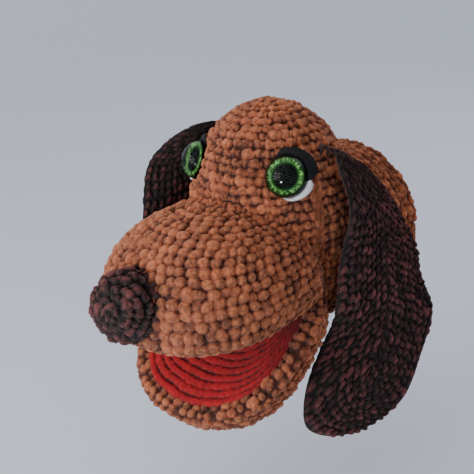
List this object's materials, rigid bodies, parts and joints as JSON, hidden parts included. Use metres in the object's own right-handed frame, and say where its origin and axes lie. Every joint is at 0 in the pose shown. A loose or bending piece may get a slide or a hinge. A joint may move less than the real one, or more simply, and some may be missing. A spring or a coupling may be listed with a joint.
{
  "type": "hand puppet",
  "caption": "Crocheted hound hand puppet with a stuffed head, ball nose, safety eyes, a hinged jaw with a ribbed mouth lining and two long hanging ears.",
  "frame": {"origin": "centre of the wrist opening, on the outer face of its rolled edging", "axes": "+Y out of the opening along the arm, -Y toward the nose, +Z toward the crown of the head, +X the puppet's left"},
  "size_m": [0.1295, 0.1894, 0.1782],
  "materials": {
    "caramel_yarn": "looped chenille crochet",
    "dark_yarn": "looped chenille crochet",
    "red_yarn": "fine ribbed crochet",
    "seam_yarn_light": "plied sewing yarn",
    "seam_yarn_dark": "plied sewing yarn",
    "fibre_fill": "loose polyester fibre fill",
    "lining_cloth": "plain woven lining",
    "white_felt": "pressed felt",
    "black_felt": "pressed felt",
    "clear_plastic": "clear moulded plastic, polished",
    "green_glitter": "green glitter under clear plastic",
    "black_plastic": "moulded, glossy",
    "washer_plastic": "moulded, matte"
  },
  "bodies": {
    "head": {"skull_cap": "caramel_yarn", "neck_sleeve": "caramel_yarn", "cuff_edging": "caramel_yarn", "muzzle": "caramel_yarn", "upper_lip_edging": "caramel_yarn", "upper_palate": "red_yarn", "nose": "dark_yarn", "nose_stuffing": "fibre_fill", "muzzle_stuffing": "fibre_fill", "skull_stuffing": "fibre_fill", "pocket_lining": "lining_cloth", "muzzle_seam": "seam_yarn_light", "nose_seam": "seam_yarn_dark", "left_ear_seam": "seam_yarn_dark", "right_ear_seam": "seam_yarn_dark", "left_eye_dome": "clear_plastic", "left_eye_iris": "green_glitter", "left_eye_stem": "black_plastic", "left_eye_washer": "washer_plastic", "left_eye_white": "white_felt", "left_eyelid": "black_felt", "right_eye_dome": "clear_plastic", "right_eye_iris": "green_glitter", "right_eye_stem": "black_plastic", "right_eye_washer": "washer_plastic", "right_eye_white": "white_felt", "right_eyelid": "black_felt"},
    "jaw": {"jaw_shell": "caramel_yarn", "jaw_edging": "caramel_yarn", "lower_palate": "red_yarn"},
    "left_ear": {"left_ear": "dark_yarn"},
    "right_ear": {"right_ear": "dark_yarn"}
  },
  "joints": [
    {"name": "jaw_hinge", "type": "hinge", "parent": "head", "child": "jaw", "pos_m": [0, -0.086, -0.007], "axis": [1, 0, 0], "range_deg": [-26, 5], "stiffness_Nm_per_rad": 0.4},
    {"name": "left_ear_root", "type": "hinge", "parent": "head", "child": "left_ear", "pos_m": [0.04266, -0.0625, 0.052], "axis": [-0.1899, 0.8936, -0.4067], "range_deg": [-80, 0]},
    {"name": "right_ear_root", "type": "hinge", "parent": "head", "child": "right_ear", "pos_m": [-0.03624, -0.0625, 0.064], "axis": [0.2059, 0.9686, -0.1392], "range_deg": [0, 60]}
  ]
}
